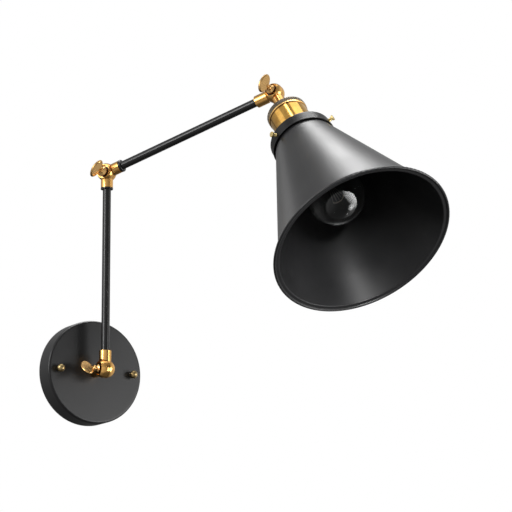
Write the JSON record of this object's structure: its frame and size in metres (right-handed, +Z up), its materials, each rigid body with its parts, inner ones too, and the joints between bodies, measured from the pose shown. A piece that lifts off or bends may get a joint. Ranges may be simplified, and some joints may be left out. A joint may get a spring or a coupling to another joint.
{
  "type": "swing arm wall lamp",
  "caption": "Swing arm wall lamp: a round canopy carries a jointed tube arm on brass knuckles with thumbscrews, and a cone shade with its bulb on a tilting lampholder.",
  "frame": {"origin": "centre of the canopy's rim, on the wall", "axes": "+X to the right along the wall as seen from the room, +Y into the wall, +Z up"},
  "size_m": [0.2343, 0.3981, 0.3107],
  "materials": {
    "black_powder_coat": "satin black powder coat",
    "black_tube": "satin black lacquer on tube",
    "aged_brass": "brushed aged brass",
    "shell_brass": "polished brass",
    "knurled_bronze": "darkened knurled brass",
    "screw_brass": "bright yellow brass",
    "plated_steel": "zinc plated",
    "dark_steel": "oil blackened",
    "dark_insulator": "moulded, dull",
    "cap_metal": "drawn sheet",
    "clear_glass": "clear blown glass",
    "filament_wire": "drawn wire"
  },
  "bodies": {
    "wall_plate": {"canopy": "black_powder_coat", "wall_strip": "plated_steel", "earth_screw": "plated_steel", "canopy_screws": "screw_brass", "base_nipple": "plated_steel", "base_nipple_washer": "plated_steel", "base_nipple_nut": "plated_steel", "base_knuckle_drum": "aged_brass", "base_spring_washer": "dark_steel"},
    "lower_arm": {"base_knuckle_dome": "aged_brass", "lower_tube": "black_tube", "lower_lock_ring": "black_tube"},
    "base_clamp": {"base_thumbscrew": "aged_brass"},
    "elbow_lower": {"elbow_knuckle_drum": "aged_brass", "elbow_spring_washer": "dark_steel"},
    "elbow_upper": {"elbow_knuckle_dome": "aged_brass"},
    "elbow_clamp": {"elbow_thumbscrew": "aged_brass"},
    "upper_arm": {"upper_tube": "black_tube", "upper_lock_ring": "black_tube", "head_knuckle_drum": "aged_brass", "head_spring_washer": "dark_steel"},
    "shade_head": {"head_knuckle_dome": "aged_brass", "lampholder_cap": "knurled_bronze", "lampholder_nipple": "plated_steel", "lampholder_nut": "plated_steel", "lampholder_shell": "shell_brass", "lampholder_insulator": "dark_insulator", "contact_shell": "screw_brass", "centre_contact": "screw_brass", "shade_collar": "black_powder_coat", "shade_ring_nut": "plated_steel", "shade": "black_powder_coat", "bulb_cap": "cap_metal", "bulb_glass": "clear_glass", "bulb_stem": "clear_glass", "bulb_filament": "filament_wire"},
    "head_clamp": {"head_thumbscrew": "aged_brass"},
    "shade_clamp_1": {"shade_screw_1": "screw_brass"},
    "shade_clamp_2": {"shade_screw_2": "screw_brass"},
    "shade_clamp_3": {"shade_screw_3": "screw_brass"}
  },
  "joints": [
    {"name": "base_hinge", "type": "hinge", "parent": "wall_plate", "child": "lower_arm", "pos_m": [0, -0.0401, 0], "axis": [1, 0, 0], "range_deg": [-5, 105]},
    {"name": "lower_swivel", "type": "hinge", "parent": "lower_arm", "child": "elbow_lower", "pos_m": [0, -0.0401, 0.1932], "axis": [0, 0, 1], "range_deg": [-100, 60]},
    {"name": "elbow_hinge", "type": "hinge", "parent": "elbow_lower", "child": "elbow_upper", "pos_m": [0, -0.0401, 0.1932], "axis": [-0.8652, -0.5015, 0], "range_deg": [-20, 75]},
    {"name": "upper_swivel", "type": "hinge", "parent": "elbow_upper", "child": "upper_arm", "pos_m": [0, -0.0401, 0.1932], "axis": [0.4818, -0.8312, 0.2773], "range_deg": [-73, 107]},
    {"name": "head_hinge", "type": "hinge", "parent": "upper_arm", "child": "shade_head", "pos_m": [0.09295, -0.20044, 0.24669], "axis": [-0.8676, -0.4081, 0.2841], "range_deg": [-20, 120]},
    {"name": "base_thumbscrew_turn", "type": "hinge", "parent": "lower_arm", "child": "base_clamp", "pos_m": [0, -0.0401, 0], "axis": [-1, 0, 0], "range_deg": [0, 360]},
    {"name": "elbow_thumbscrew_turn", "type": "hinge", "parent": "elbow_upper", "child": "elbow_clamp", "pos_m": [0, -0.0401, 0.1932], "axis": [-0.8652, -0.5015, 0], "range_deg": [0, 360]},
    {"name": "head_thumbscrew_turn", "type": "hinge", "parent": "shade_head", "child": "head_clamp", "pos_m": [0.09295, -0.20044, 0.24669], "axis": [-0.8676, -0.4081, 0.2841], "range_deg": [0, 360]},
    {"name": "shade_screw_1_turn", "type": "hinge", "parent": "shade_head", "child": "shade_clamp_1", "pos_m": [0.09544, -0.24407, 0.19162], "axis": [-0.9982, -0.0597, 0.0022], "range_deg": [0, 360]},
    {"name": "shade_screw_2_turn", "type": "hinge", "parent": "shade_head", "child": "shade_clamp_2", "pos_m": [0.09544, -0.24407, 0.19162], "axis": [0.4575, 0.707, -0.5394], "range_deg": [0, 360]},
    {"name": "shade_screw_3_turn", "type": "hinge", "parent": "shade_head", "child": "shade_clamp_3", "pos_m": [0.09544, -0.24407, 0.19162], "axis": [0.5408, -0.6473, 0.5372], "range_deg": [0, 360]}
  ]
}
